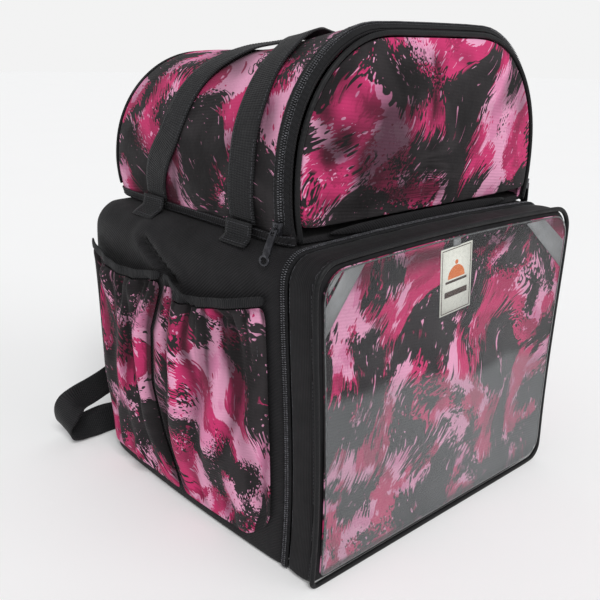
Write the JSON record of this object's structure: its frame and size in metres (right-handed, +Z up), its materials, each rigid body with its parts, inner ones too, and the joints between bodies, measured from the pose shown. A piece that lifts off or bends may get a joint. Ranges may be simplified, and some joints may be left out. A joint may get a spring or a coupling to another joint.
{
  "type": "food delivery backpack",
  "caption": "Padded box-shaped delivery backpack with a zipped front door, a domed upper compartment, open side pockets, carry handles and shoulder straps.",
  "frame": {"origin": "middle of the flat base of the lower box", "axes": "+X to the viewer's right as the door is looked at, +Y from the door to the wearer's back, +Z up"},
  "size_m": [0.4961, 0.4533, 0.5297],
  "materials": {
    "black_cloth": "matt twill",
    "black_webbing": "ribbed webbing",
    "black_piping": "satin",
    "camouflage_cloth": "printed cloth in charcoal, deep pink and pale pink",
    "clear_film": "clear soft film",
    "grey_reflector": "satin",
    "pale_label": "smooth",
    "zip_tape": "satin",
    "zip_metal": "dark satin",
    "black_plastic": "moulded"
  },
  "bodies": {
    "root": {"lower_shell": "black_cloth", "door_tray": "black_cloth", "door_zipper": "zip_tape", "door_piping": "black_piping", "window_print": "camouflage_cloth", "window_film": "clear_film", "reflector_left": "grey_reflector", "reflector_left_short": "grey_reflector", "reflector_right": "grey_reflector", "reflector_stub": "grey_reflector", "label_patch": "pale_label", "dome_shell": "camouflage_cloth", "dome_front": "camouflage_cloth", "front_band": "black_cloth", "dome_piping_front": "black_piping", "dome_piping_back": "black_piping", "dome_zipper": "zip_tape", "slider_left": "zip_metal", "slider_right": "zip_metal", "seam_binding": "black_cloth", "handle_front": "black_webbing", "handle_rear": "black_webbing", "handle_tab_left_front": "black_webbing", "handle_tab_left_rear": "black_webbing", "handle_tab_right_front": "black_webbing", "handle_tab_right_rear": "black_webbing", "pocket_left_front": "camouflage_cloth", "pocket_left_rear": "camouflage_cloth", "pocket_right_front": "camouflage_cloth", "pocket_right_rear": "camouflage_cloth", "pocket_binding_left_front": "black_webbing", "pocket_binding_left_rear": "black_webbing", "pocket_binding_right_front": "black_webbing", "pocket_binding_right_rear": "black_webbing", "shoulder_pad_left": "black_cloth", "shoulder_pad_right": "black_cloth", "strap_buckle_left": "black_plastic", "strap_buckle_right": "black_plastic", "strap_webbing_left": "black_webbing", "strap_webbing_right": "black_webbing"},
    "pull_left": {"pull_left": "zip_metal"},
    "pull_right": {"pull_right": "zip_metal"}
  },
  "joints": [
    {"name": "pull_left_swing", "type": "hinge", "parent": "root", "child": "pull_left", "pos_m": [-0.1989, -0.1325, 0.3515], "axis": [0.0462, 0.9816, 0.1851], "range_deg": [0, 90]},
    {"name": "pull_right_swing", "type": "hinge", "parent": "root", "child": "pull_right", "pos_m": [0.1989, -0.1325, 0.3515], "axis": [0.0462, -0.9816, -0.1851], "range_deg": [0, 90]}
  ]
}
